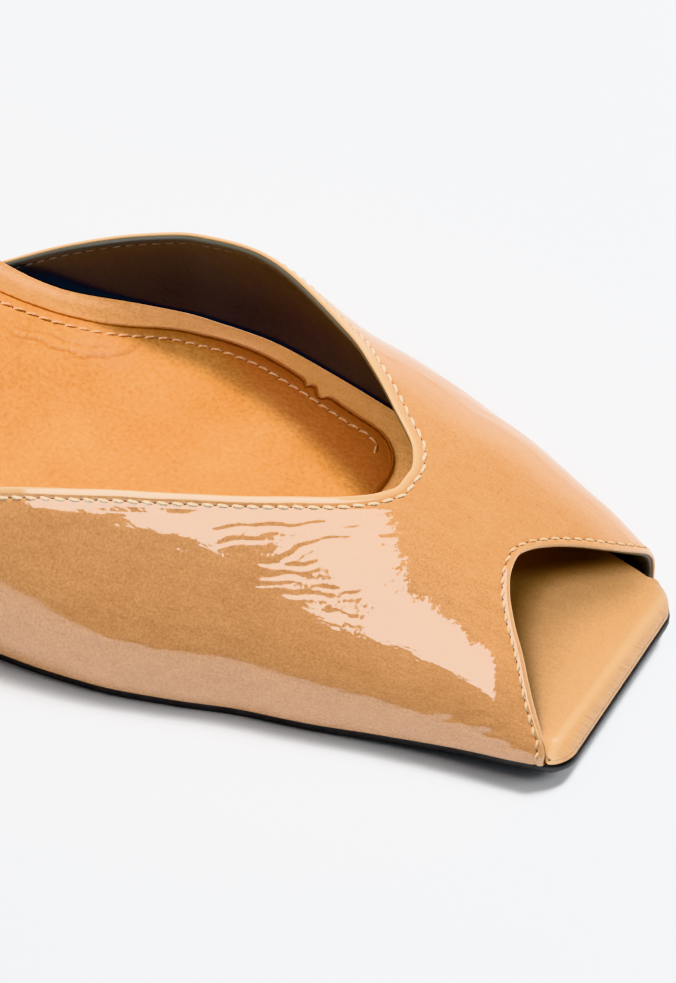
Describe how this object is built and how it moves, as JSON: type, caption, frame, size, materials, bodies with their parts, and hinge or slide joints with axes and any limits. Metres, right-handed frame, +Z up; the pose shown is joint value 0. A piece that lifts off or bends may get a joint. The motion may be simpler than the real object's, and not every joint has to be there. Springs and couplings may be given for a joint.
{
  "type": "peep-toe slingback sandal",
  "caption": "Right slingback sandal with a glossy square peep-toe vamp, deep V topline, slim sling strap, thin flexible sole and low block heel.",
  "frame": {"origin": "centre of the bounding box at the height of the ground", "axes": "+X towards the toe, +Y towards the inner side of the foot, +Z up"},
  "size_m": [0.2561, 0.078, 0.085],
  "materials": {
    "upper": "glossy tan patent leather",
    "footbed": "glossy tan patent leather wrap",
    "sock": "smooth natural leather, satin",
    "outsole": "black painted leather, satin edge",
    "heel": "block covered in glossy tan patent leather",
    "top_piece": "matte black rubber",
    "sling_strap": "glossy tan patent leather"
  },
  "bodies": {
    "root": {"upper": "upper", "footbed": "footbed", "sock": "sock", "outsole": "outsole", "heel": "heel", "top_piece": "top_piece", "sling_strap": "sling_strap"}
  },
  "joints": []
}
